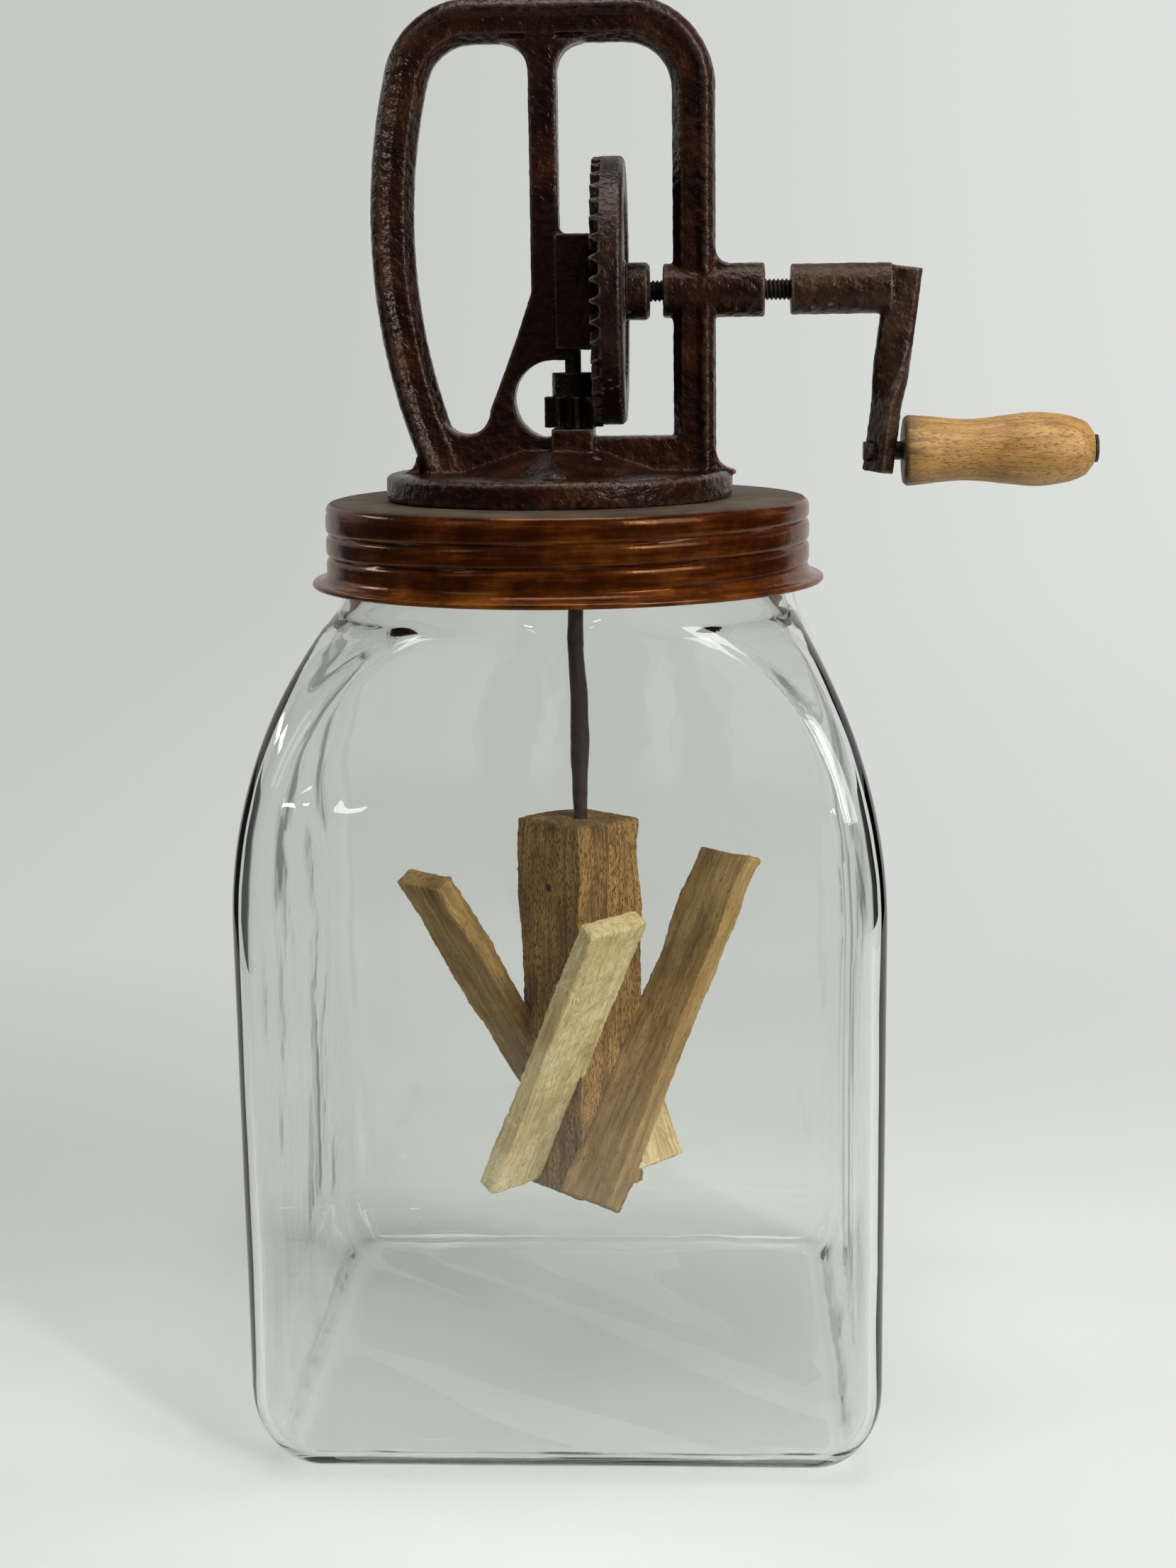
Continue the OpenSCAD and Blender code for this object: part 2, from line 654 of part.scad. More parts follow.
module dasher_rod() {
    color("dimgray")
    translate([rod_x, 0, rod_low])
    difference() {
        cylinder(d = rod_d, h = plate_top + rod_top - rod_low);
        translate([0, 0, pinion_pin_z - rod_low]) cross_bore();
        translate([0, 0, block_pin_z - rod_low]) rotate([0, 0, 45]) cross_bore();
    }
}

// Bore for a cross pin, along x
module cross_bore() {
    translate([-jar_w / 2, 0, 0]) rotate([0, 90, 0]) cylinder(r = pin_d / 2 + seat_fit, h = jar_w);
}

// One pinion tooth in plan, with its tip at +x
module pinion_tooth() {
    polygon([[0, -pinion_tooth_w[0] / 2], [pinion_root_r, -pinion_tooth_w[0] / 2],
        [pinion_tip_r, -pinion_tooth_w[1] / 2], [pinion_tip_r, pinion_tooth_w[1] / 2],
        [pinion_root_r, pinion_tooth_w[0] / 2], [0, pinion_tooth_w[0] / 2]]);
}

module pinion() {
    color("black")
    translate([rod_x, 0, pinion_z])
    difference() {
        union() {
            linear_extrude(pinion_face) {
                circle(pinion_root_r);
                for (i = [0 : pinion_teeth - 1])
                    rotate(360 / pinion_teeth * i) pinion_tooth();
            }
            cylinder(d = pinion_hub_d, h = over / 2);
            translate([0, 0, pinion_face - over]) cylinder(d = pinion_hub_d, h = pinion_hub_h + over);
        }
        translate([0, 0, -over])
            cylinder(r = rod_d / 2 + seat_fit, h = pinion_face + pinion_hub_h + 2 * over);
        translate([0, 0, pinion_pin_z - pinion_z]) cross_bore();
    }
}

module pinion_pin() {
    color("gray")
    translate([rod_x - pinion_hub_d / 2, 0, pinion_pin_z]) rotate([0, 90, 0]) cylinder(d = pin_d, h = pinion_hub_d);
}

// Paddle of length len standing on its edge in its slot, on the face of the block that looks along angle a.
// Its middle is at height mid, it tilts round the block by tilt, and it is grown by gap all round
module paddle_blank(a, len, tilt, mid, gap) {
    translate([rod_x, 0, mid]) rotate([0, 0, a])
        translate([paddle_x - gap, paddle_shift, 0]) rotate([-tilt, 0, 0])
        translate([0, -paddle_t / 2 - gap, -len / 2 - gap])
        cube([paddle_w + gap, paddle_t + 2 * gap, len + 2 * gap]);
}

module pale_paddle(a, gap = 0) { paddle_blank(a, pale_len, pale_tilt, pale_mid_z, gap); }

module brown_paddle(a, gap = 0) { paddle_blank(a, brown_len, brown_tilt, brown_mid_z, gap); }

module dasher_block() {
    color("saddlebrown")
    difference() {
        translate([rod_x, 0, block_z]) rotate([0, 0, 45])
            translate([-block_side / 2, -block_side / 2, 0]) cube([block_side, block_side, block_len]);
        translate([rod_x, 0, rod_low - seat_fit]) cylinder(r = rod_d / 2 + seat_fit, h = block_len);
        translate([rod_x, 0, block_pin_z]) rotate([0, 0, 45]) cross_bore();
        for (a = [45, 225]) pale_paddle(a, seat_fit);
        for (a = [135, 315]) brown_paddle(a, seat_fit);
    }
}

module block_pin() {
    color("gray")
    translate([rod_x, 0, block_pin_z]) rotate([0, 0, 45]) translate([-block_side / 2, 0, 0])
        rotate([0, 90, 0]) cylinder(d = pin_d, h = block_side);
}

module paddle_front_left() { color("burlywood") pale_paddle(225); }
module paddle_front_right() { color("peru") brown_paddle(315); }
module paddle_back_right() { color("burlywood") pale_paddle(45); }
module paddle_back_left() { color("peru") brown_paddle(135); }

glass_jar();
screw_lid();
lid_liner();
gear_frame();
frame_screws();
frame_nuts();
drive_shaft();
crown_wheel();
wheel_nut();
crank_arm();
grip_spindle();
crank_grip();
dasher_rod();
pinion();
pinion_pin();
dasher_block();
block_pin();
paddle_front_left();
paddle_front_right();
paddle_back_right();
paddle_back_left();
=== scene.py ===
"""Hand-cranked glass butter churn: the looks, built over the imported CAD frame."""
import json
import math

import bpy
from mathutils import Matrix, Vector

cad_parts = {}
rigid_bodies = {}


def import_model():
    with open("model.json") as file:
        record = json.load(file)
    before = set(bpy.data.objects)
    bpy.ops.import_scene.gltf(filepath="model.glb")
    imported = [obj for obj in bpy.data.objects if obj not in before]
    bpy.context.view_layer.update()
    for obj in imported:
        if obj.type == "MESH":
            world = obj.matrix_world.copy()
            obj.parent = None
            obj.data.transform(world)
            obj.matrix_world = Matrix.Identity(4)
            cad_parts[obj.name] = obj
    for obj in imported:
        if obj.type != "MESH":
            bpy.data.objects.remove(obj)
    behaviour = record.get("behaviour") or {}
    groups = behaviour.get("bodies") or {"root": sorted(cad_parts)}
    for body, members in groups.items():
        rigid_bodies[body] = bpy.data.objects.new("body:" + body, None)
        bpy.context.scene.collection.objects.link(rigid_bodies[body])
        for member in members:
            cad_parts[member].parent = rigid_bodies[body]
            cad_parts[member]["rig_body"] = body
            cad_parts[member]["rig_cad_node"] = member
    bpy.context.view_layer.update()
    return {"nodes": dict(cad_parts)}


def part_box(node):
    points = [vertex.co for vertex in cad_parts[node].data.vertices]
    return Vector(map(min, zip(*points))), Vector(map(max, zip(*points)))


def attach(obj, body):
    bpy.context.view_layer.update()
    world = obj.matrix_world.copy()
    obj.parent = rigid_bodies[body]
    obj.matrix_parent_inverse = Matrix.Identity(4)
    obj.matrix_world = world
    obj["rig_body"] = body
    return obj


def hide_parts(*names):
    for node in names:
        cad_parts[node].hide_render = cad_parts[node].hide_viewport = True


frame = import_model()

MM = 0.001
NODES = frame["nodes"]

# Points closer than this, in m, are one point
WELD = 1e-6

# Photograph: its height and focal length in pixels, the sensor's height in mm, and the camera's place in mm
# and turns in radians
PHOTO_H = 2212
FOCAL_PX = 3300
SENSOR_MM = 36
CAMERA_PLACE = (38.66, -720.34, 330.97)
CAMERA_PITCH, CAMERA_YAW, CAMERA_ROLL = 0.19334, -0.0464, -0.01369

# Jar, in mm: its sizes, and (height, inset) of each ring of the outer and the inner shell
JAR_HALF, JAR_CORNER_R = 92.5, 12
HEEL_H, HEEL_R = 26, 40
SHOULDER_Z, SHOULDER_R = 165, 154.1
DOME_REACH, DOME_R = 129.4, 93.1
NECK_R, WALL_T = 69.5, 4
# Widths over which the creases at the dome and the neck are rounded, and the rise above which there is a neck
DOME_CREASE, NECK_CREASE, NECK_RISE = 3, 3, 40
LEAST_CORNER_R = 4
BODY_Z = [13, 17, 21, 26, 34, 46, 64, 90, 116, 140, 154, 162]
BODY_Z += [SHOULDER_Z + 2.5 * i for i in range(33)] + [250, 255, 262, 270]
JAR_OUTSIDE = [(0, 9), (0.01, 3.4), (0.2, 2.1), (0.7, 1), (1.5, 0.35), (2.6, 0.05),
               (4, 0), (6.5, 0), (9.5, 0)]
JAR_OUTSIDE += [(z, 0) for z in BODY_Z] + [(274, 0.25), (275.3, 0.9), (276, 2)]
JAR_INSIDE = [(5, 14), (5.02, 6.2), (5.3, 4.6), (6, 3.6), (7.2, 3.1), (9.5, 3)]
JAR_INSIDE += [(z, min(WALL_T, 2.5 + z / 20)) for z in BODY_Z] + [(274, 3.75), (275.3, 3.1), (275.9, 2.3)]
# Size and depth of the waves in the glass
OUTER_WAVE, INNER_WAVE = (60, 0.3), (34, 0.9)
# Directions of a ring's points, in degrees from the middle of a side: close together at the corners
CORNER_STEPS = [38 + 0.5 * i for i in range(14)]
SIDE_STEPS = [-45] + [-a for a in reversed(CORNER_STEPS[1:])] + list(range(-38, 38)) + CORNER_STEPS
JAR_ANGLES = [math.radians(side + a) for side in (0, 90, 180, 270) for a in SIDE_STEPS]

# Lid, in mm, with the spacing of the skirt's rings, and the share of a turn at which the rolls start
LID_R, LID_TOP, LID_FOOT, SHEET_T = 74, 279.5, 254, 0.9
SKIRT_STEP, SKIRT_RINGS, LID_STEPS = 0.55, 39, 240
ROLL_PITCH, ROLL_DEPTH, ROLL_PHASE = 6.8, 1.25, 0.2
# Where the rolls run out under the top and over the flare, and over what height they fade there
ROLL_TOP, ROLL_FOOT, FADE_TOP, FADE_FOOT = LID_TOP - 1.5, LID_FOOT + 3, 4, 3.5
FLARE_R, HEM_R = 78.5, 0.9

# Shaft, in mm
SHAFT_Z = 341
THREAD_PITCH, THREAD_CREST, THREAD_ROOT = 1.25, 3.2, 2.55
THREAD_STEPS = 28

# Rough copies of CAD nodes: name, node, voxel in mm, smoothing passes, grain size and depth in mm,
# share of the faces kept, material, body, slot
CASTINGS = [
    ("frame_casting", "gear_frame", 0.55, 1, 2.2, 0.35, 0.5, "frame_iron", "head", "cast_frame"),
    ("wheel_casting", "crown_wheel", 0.4, 2, 1.6, 0.25, 1, "gear_iron", "crank", "gear_iron"),
    ("round_lock_nut", "wheel_nut", 0.35, 2, 1.6, 0.2, 1, "gear_iron", "crank", "gear_iron"),
    ("pinion_casting", "pinion", 0.3, 3, 1.2, 0.2, 1, "gear_iron", "dasher", "gear_iron"),
    ("crank_forging", "crank_arm", 0.45, 4, 2.4, 0.4, 1, "crank_iron", "crank", "crank_iron"),
    ("turned_grip", "crank_grip", 0.5, 3, 9, 0.4, 1, "grip_wood", "grip", "grip_wood"),
    ("sawn_block", "dasher_block", 0.8, 2, 1.4, 0.7, 1, "block_wood", "dasher", "brown_wood"),
]
# Voxel, passes, grain size and depth of a paddle, and the kinds of paddle: lean in degrees, dark, middle and
# light colour, grain in mm, pores, and the sides with the direction that each faces
STICK = (0.7, 3, 3.5, 0.9)
STICK_ROUGHNESS = 0.8
PADDLES = {
    "pale": (-28, "#ab8d55", "#dac28a", "#efdfb2", 1.8, 0.34, (("front_left", 225), ("back_right", 45))),
    "brown": (-32, "#6a5025", "#9f7d45", "#c2a269", 2.6, 0.33, (("front_right", 315), ("back_left", 135))),
}

# Where the greasy stain on the grip starts to fade and where it ends, in mm from the grip's inner end,
# before the grain draws it in and makes its edge ragged
GRIP_STAIN = (6, 14)

# Stage, in m: the paper's width, length, shift, wall and bend, and the size and place of a dark card
PAPER_W, PAPER_L, PAPER_SHIFT, PAPER_WALL, PAPER_BEND = 24, 8, -0.6, 3, 1.5
CARD_SIZE, CARD_Y, CARD_Z = (0.01, 0.7, 0.3), 0.12, 0.155
# Lamps: name, place, aim, width and height in m, and power in W
LAMPS = [
    ("window_left", (-0.95, -0.75, 1.0), (0, 0, 0.25), 0.3, 0.6, 1.3),
    ("window_side", (-1.1, 0.3, 0.78), (-0.06, -0.05, 0.23), 0.34, 0.07, 1.3),
    ("window_right", (1.15, -0.95, 1.05), (0, 0, 0.25), 0.9, 1.0, 18),
    ("window_bar", (0.95, -1.2, 1.0), (0, 0, 0.3), 0.1, 0.7, 8.5),
    ("far_strip_left", (-0.66, -3, 1.05), (0, 0, 0.2), 0.14, 0.05, 0.7),
    ("far_strip_right", (0.55, -3, 0.95), (0, 0, 0.2), 0.12, 0.06, 0.6),
    ("ceiling_panel", (0, -0.1, 2.2), (0, 0.2, 0), 1.2, 0.9, 23),
]
WORLD_STRENGTH = 0.12


def start_fresh():
    """Leaves edit mode and deselects everything, so that an operator touches only the new piece."""
    if bpy.context.object and bpy.context.object.mode != "OBJECT":
        bpy.ops.object.mode_set(mode="OBJECT")
    bpy.ops.object.select_all(action="DESELECT")


def choose(piece):
    """Selects one piece alone and makes it active."""
    start_fresh()
    piece.select_set(True)
    bpy.context.view_layer.objects.active = piece


def finish_with(piece, kind, **settings):
    """Adds a modifier with its settings and applies it."""
    choose(piece)
    modifier = piece.modifiers.new(kind.title(), kind)
    for key, value in settings.items():
        setattr(modifier, key, value)
    bpy.ops.object.modifier_apply(modifier=modifier.name)


def edit_mesh(piece):
    """Opens a piece in edit mode with all of it selected."""
    choose(piece)
    bpy.ops.object.mode_set(mode="EDIT")
    bpy.ops.mesh.select_all(action="SELECT")


def close_up(piece):
    """Merges doubled points and turns every face outwards."""
    edit_mesh(piece)
    bpy.ops.mesh.remove_doubles(threshold=WELD)
    bpy.ops.mesh.normals_make_consistent(inside=False)
    bpy.ops.object.mode_set(mode="OBJECT")


def soften(piece, angle=None):
    """Shades a piece smooth, all over or only across edges flatter than an angle in degrees."""
    choose(piece)
    if angle is None:
        bpy.ops.object.shade_smooth()
    else:
        bpy.ops.object.shade_smooth_by_angle(angle=math.radians(angle))


def drawn_line(name, points):
    """A line drawn point by point, in mm, ready to be spun or screwed. It stays in edit mode."""
    start_fresh()
    bpy.ops.mesh.primitive_plane_add(size=MM)
    line = bpy.context.object
    line.name = line.data.name = name
    bpy.ops.object.mode_set(mode="EDIT")
    bpy.ops.mesh.select_mode(type="VERT")
    bpy.ops.mesh.select_all(action="SELECT")
    bpy.ops.mesh.merge(type="CENTER")
    here = Vector((0, 0, 0))
    for number, point in enumerate(points):
        step = Vector(point) * MM - here
        if number:
            bpy.ops.mesh.extrude_vertices_move(TRANSFORM_OT_translate={"value": step})
        else:
            bpy.ops.transform.translate(value=step)
        here = here + step
    bpy.ops.mesh.select_all(action="SELECT")
    return line


def turned(name, points, steps):
    """A turned piece: the drawn line spun once round the upright axis."""
    piece = drawn_line(name, points)
    bpy.ops.mesh.spin(steps=steps, angle=2 * math.pi, center=(0, 0, 0), axis=(0, 0, 1))
    close_up(piece)
    soften(piece, 40)
    return piece


def blend_low(a, b, width):
    """The lower of two values, with the crease between them rounded over a width."""
    near = max(width - abs(a - b), 0) / width
    return min(a, b) - near * near * width / 4


def jar_reach(z, angle, inset):
    """Distance of the jar's surface from its axis: flat sides, round dome over the corners, round neck."""
    rise = max(z - SHOULDER_Z, 0)
    drop = max(HEEL_H - z, 0)
    half = JAR_HALF - inset
    if drop:
        heel = math.sqrt((HEEL_R - min(inset, WALL_T)) ** 2 - drop ** 2)
        half = JAR_HALF - HEEL_R + heel - max(inset - WALL_T, 0)
    elif rise:
        half = JAR_HALF - SHOULDER_R + math.sqrt((SHOULDER_R - inset) ** 2 - rise ** 2)
    dome = DOME_REACH - DOME_R + math.sqrt(max((DOME_R - inset) ** 2 - rise ** 2, 0))
    corner = max(JAR_CORNER_R - inset, LEAST_CORNER_R)
    straight = half - corner
    wide, narrow = sorted((abs(math.cos(angle)), abs(math.sin(angle))), reverse=True)
    side = half / wide
    if side * narrow > straight:
        both = straight * (wide + narrow)
        side = both + math.sqrt(max(both ** 2 - 2 * straight ** 2 + corner ** 2, 0))
    body = blend_low(side, dome, DOME_CREASE)
    return -blend_low(-body, inset - NECK_R, NECK_CREASE) if rise > NECK_RISE else body


def shell(name, rings):
    """A shell drawn upwards from a filled ring, ring by ring, and then drawn out to the jar's shape."""
    start_fresh()
    count = len(JAR_ANGLES)
    bpy.ops.mesh.primitive_circle_add(vertices=count, radius=NECK_R * MM, fill_type="NGON",
                                      location=(0, 0, rings[0][0] * MM))
    bpy.ops.object.transform_apply(location=True)
    piece = bpy.context.object
    piece.name = piece.data.name = name
    edit_mesh(piece)
    bpy.ops.mesh.select_mode(type="FACE")
    for (z_now, _), (z, _) in zip(rings, rings[1:]):
        bpy.ops.mesh.extrude_region_move(TRANSFORM_OT_translate={"value": (0, 0, (z - z_now) * MM)})
    bpy.ops.object.mode_set(mode="OBJECT")
    for point in piece.data.vertices:
        z, inset = min(rings, key=lambda ring: abs(ring[0] - point.co.z / MM))
        place = round(math.atan2(point.co.y, point.co.x) / (2 * math.pi) * count)
        angle = JAR_ANGLES[place % count]
        reach = jar_reach(z, angle, inset) * MM
        point.co = (reach * math.cos(angle), reach * math.sin(angle), z * MM)
    return piece


def uneven(piece, name, size, depth):
    """Swells and sinks a surface in soft waves of a size and a depth in mm."""
    wave = bpy.data.textures.new(name, "CLOUDS")
    wave.noise_scale = size * MM
    wave.noise_depth = 2
    finish_with(piece, "DISPLACE", texture=wave, texture_coords="LOCAL", strength=depth * MM, mid_level=0.5)


def open_mouth(piece, top):
    """Deletes the flat face that closes a shell's mouth, which is the only large one at its top."""
    edit_mesh(piece)
    bpy.ops.mesh.select_mode(type="FACE")
    bpy.ops.mesh.select_all(action="DESELECT")
    bpy.ops.object.mode_set(mode="OBJECT")
    for face in piece.data.polygons:
        face.select = face.center.z > top * MM - 1e-5 and len(face.vertices) > 4
    bpy.ops.object.mode_set(mode="EDIT")
    bpy.ops.mesh.delete(type="ONLY_FACE")
    bpy.ops.object.mode_set(mode="OBJECT")


def make_jar():
    """Pressed jar: a smooth outer and a wavier inner shell, bridged at the rim."""
    outside = shell("jar_glass", JAR_OUTSIDE)
    inside = shell("jar_inside", JAR_INSIDE)
    open_mouth(outside, JAR_OUTSIDE[-1][0])
    open_mouth(inside, JAR_INSIDE[-1][0])
    uneven(outside, "outer_wave", *OUTER_WAVE)
    uneven(inside, "inner_wave", *INNER_WAVE)
    choose(outside)
    inside.select_set(True)
    bpy.ops.object.join()
    bpy.ops.object.mode_set(mode="EDIT")
    bpy.ops.mesh.select_mode(type="EDGE")
    bpy.ops.mesh.select_all(action="DESELECT")
    bpy.ops.mesh.select_non_manifold()
    bpy.ops.mesh.bridge_edge_loops()
    close_up(outside)
    soften(outside)
    return outside


def make_lid():
    """Screw lid: a turned sheet shell whose skirt is rolled into a thread that climbs to the right."""
    rows = [z for z in (LID_TOP - 3 - SKIRT_STEP * i for i in range(SKIRT_RINGS)) if z > LID_FOOT + 4.2]
    hem_x, hem_z = FLARE_R - HEM_R, LID_FOOT + HEM_R
    under = LID_TOP - SHEET_T
    inner_r = LID_R - SHEET_T
    outer = [(0, LID_TOP), (20, LID_TOP), (50, LID_TOP), (LID_R - 3, LID_TOP), (LID_R - 1.6, LID_TOP - 0.35),
             (LID_R - 0.6, LID_TOP - 1.1), (LID_R - 0.1, LID_TOP - 2.2)] + [(LID_R, z) for z in rows]
    flare = [(LID_R + 0.1, LID_FOOT + 4.1), (LID_R + 0.6, LID_FOOT + 3), (LID_R + 1.6, LID_FOOT + 2.2),
             (LID_R + 2.9, LID_FOOT + 1.9)]
    hem = [(hem_x + HEM_R * math.cos(math.radians(a)), hem_z + HEM_R * math.sin(math.radians(a)))
           for a in (60, 30, 0, -30, -60, -90, -120)]
    inner = [(LID_R + 1, LID_FOOT + 0.5), (LID_R - 0.6, LID_FOOT + 1.6), (inner_r, LID_FOOT + 4)]
    inner += [(inner_r, z) for z in reversed(rows)]
    inner += [(inner_r - 1, LID_TOP - 1.4), (inner_r - 2.4, under), (20, under), (0, under)]
    lid = turned("lid_shell", [(x, 0, z) for x, z in outer + flare + hem + inner], LID_STEPS)
    for point in lid.data.vertices:
        reach = math.hypot(point.co.x, point.co.y)
        z = point.co.z / MM
        if reach < (LID_R - 1.5) * MM or not ROLL_FOOT < z < ROLL_TOP:
            continue
        turn_share = math.atan2(point.co.x, -point.co.y) / (2 * math.pi)
        phase = ((LID_TOP - z) / ROLL_PITCH + turn_share - ROLL_PHASE) % 1
        fade = min(1, (ROLL_TOP - z) / FADE_TOP) * min(1, (z - ROLL_FOOT) / FADE_FOOT)
        sunk = ROLL_DEPTH * MM * fade * abs(2 * phase - 1) ** 5
        point.co.x *= 1 - sunk / reach
        point.co.y *= 1 - sunk / reach
    soften(lid, 50)
    return lid


def make_threaded_shaft():
    """Drive shaft: one zigzag of a V thread, screwed along the shaft and capped."""
    low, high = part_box("drive_shaft")
    start, length = low.x / MM, (high.x - low.x) / MM
    tooth = [(0, THREAD_ROOT), (0.42, THREAD_CREST), (0.58, THREAD_CREST), (1, THREAD_ROOT)]
    shaft = drawn_line("shaft_thread", [(start + share * THREAD_PITCH, 0, reach) for share, reach in tooth])
    turns = int(length / THREAD_PITCH) - 1
    finish_with(shaft, "SCREW", axis="X", screw_offset=THREAD_PITCH * MM, iterations=turns,
                steps=THREAD_STEPS, render_steps=THREAD_STEPS, use_merge_vertices=True, merge_threshold=WELD)
    edit_mesh(shaft)
    bpy.ops.mesh.remove_doubles(threshold=WELD)
    bpy.ops.mesh.fill_holes(sides=0)
    bpy.ops.object.mode_set(mode="OBJECT")
    close_up(shaft)
    shaft.location.z = SHAFT_Z * MM
    choose(shaft)
    bpy.ops.object.transform_apply(location=True)
    soften(shaft, 35)
    return shaft


def cast_copy(name, node, voxel, passes, grain, grain_depth, keep=1):
    """A rough copy of a CAD node: edges worn round and skin grained, as a sand casting or a sawn stick is."""
    start_fresh()
    piece = NODES[node].copy()
    piece.data = NODES[node].data.copy()
    piece.parent = None
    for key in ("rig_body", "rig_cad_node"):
        del piece[key]
    piece.name = piece.data.name = name
    bpy.context.scene.collection.objects.link(piece)
    close_up(piece)
    finish_with(piece, "REMESH", mode="VOXEL", voxel_size=voxel * MM)
    finish_with(piece, "SMOOTH", factor=0.5, iterations=passes)
    uneven(piece, name + "_grain", grain, grain_depth)
    if keep < 1:
        finish_with(piece, "DECIMATE", ratio=keep)
    soften(piece)
    return piece


def linear(colour):
    """An sRGB hex colour as linear RGBA."""
    channels = [int(colour[i:i + 2], 16) / 255 for i in (1, 3, 5)]
    return [c / 12.92 if c <= 0.04045 else ((c + 0.055) / 1.055) ** 2.4 for c in channels] + [1]


def add(material, kind, sockets=None, stops=(), **settings):
    """Adds one node with its settings. A socket value is a constant, or another node's output to link.
    The stops of a colour ramp are (place, hex colour)."""
    tree = material.node_tree
    node = tree.nodes.new(kind)
    for key, value in settings.items():
        setattr(node, key, value)
    for name, value in (sockets or {}).items():
        if isinstance(value, bpy.types.NodeSocket):
            tree.links.new(value, node.inputs[name])
        else:
            node.inputs[name].default_value = value
    for number, (place, colour) in enumerate(stops):
        band = node.color_ramp.elements
        stop = band[number] if number < len(band) else band.new(place)
        stop.position, stop.color = place, linear(colour)
    return node


def new_material(name):
    """An empty node material."""
    material = bpy.data.materials.new(name)
    material.use_nodes = True
    material.node_tree.nodes.clear()
    return material


def pressed_glass():
    """Old soda-lime glass, pressed in a mould: clear, grey-green in its depth, with waves that bend what is
    seen. A shadow ray passes straight through, so that light reaches the dasher."""
    m = new_material("pressed_soda_lime_glass")
    place = add(m, "ShaderNodeTexCoord").outputs["Object"]
    wave = add(m, "ShaderNodeTexNoise", {"Vector": place, "Scale": 1 / (22 * MM), "Detail": 2.0})
    wavy = add(m, "ShaderNodeBump", {"Height": wave.outputs["Fac"], "Distance": 0.3 * MM, "Strength": 0.3})
    glass = add(m, "ShaderNodeBsdfPrincipled", {
        "Base Color": linear("#fdfefd"), "Roughness": 0.0, "IOR": 1.5, "Specular IOR Level": 0.4,
        "Transmission Weight": 1.0, "Normal": wavy.outputs["Normal"]})
    clear = add(m, "ShaderNodeBsdfTransparent", {"Color": linear("#e0e3e0")})
    path = add(m, "ShaderNodeLightPath")
    both = add(m, "ShaderNodeMixShader", {
        0: path.outputs["Is Shadow Ray"], 1: glass.outputs["BSDF"], 2: clear.outputs["BSDF"]})
    depth = add(m, "ShaderNodeVolumeAbsorption", {"Color": linear("#b3b9b4"), "Density": 20.0})
    add(m, "ShaderNodeOutputMaterial", {"Surface": both.outputs["Shader"], "Volume": depth.outputs["Volume"]})
    return m


def rusted_casting(name, dark, brown, worn, ridge_colour_wear_and_highlight, gloss):
    """Oiled rusty iron cast in sand: dark red-brown, paler along its ridges, partly as wear from rubbing and
    partly as painted highlight, with grit that sparkles in the oil and speckles the pale ridges. The grit is
    drawn at 2.4 mm, coarser than real sand, so that it shows."""
    m = new_material(name)
    place = add(m, "ShaderNodeTexCoord").outputs["Object"]
    blotch = add(m, "ShaderNodeTexNoise", {
        "Vector": place, "Scale": 1 / (12 * MM), "Detail": 6.0, "Roughness": 0.65})
    grit = add(m, "ShaderNodeTexNoise", {
        "Vector": place, "Scale": 1 / (2.4 * MM), "Detail": 4.0, "Roughness": 0.55})
    colour = add(m, "ShaderNodeValToRGB", {"Fac": blotch.outputs["Fac"]},
                 stops=[(0.36, dark), (0.54, brown), (0.78, worn)])
    # Paler colour along the ridges, speckled by the grit: partly wear from rubbing, partly painted highlight
    edge = add(m, "ShaderNodeNewGeometry").outputs["Pointiness"]
    ridge_mask_wear_and_highlight = add(m, "ShaderNodeMapRange", {"Value": edge, "From Min": 0.51, "From Max": 0.56, "To Max": 0.9})
    speckled_wear_and_highlight = add(m, "ShaderNodeMath", {
        0: ridge_mask_wear_and_highlight.outputs["Result"], 1: grit.outputs["Fac"]}, operation="MULTIPLY")
    mixed = add(m, "ShaderNodeMix", {
        "Factor": speckled_wear_and_highlight.outputs[0], 6: colour.outputs["Color"], 7: linear(ridge_colour_wear_and_highlight)}, data_type="RGBA")
    shine = add(m, "ShaderNodeMapRange", {
        "Value": blotch.outputs["Fac"], "From Min": 0.3, "From Max": 0.7,
        "To Min": gloss - 0.08, "To Max": gloss + 0.16})
    rough = add(m, "ShaderNodeBump", {"Height": grit.outputs["Fac"], "Distance": 0.7 * MM, "Strength": 1.0})
    skin = add(m, "ShaderNodeBsdfPrincipled", {
        "Base Color": mixed.outputs[2], "Roughness": shine.outputs["Result"], "Specular IOR Level": 0.42,
        "Specular Tint": linear("#d8c2ae"), "Normal": rough.outputs["Normal"]})
    add(m, "ShaderNodeOutputMaterial", {"Surface": skin.outputs["BSDF"]})
    return m


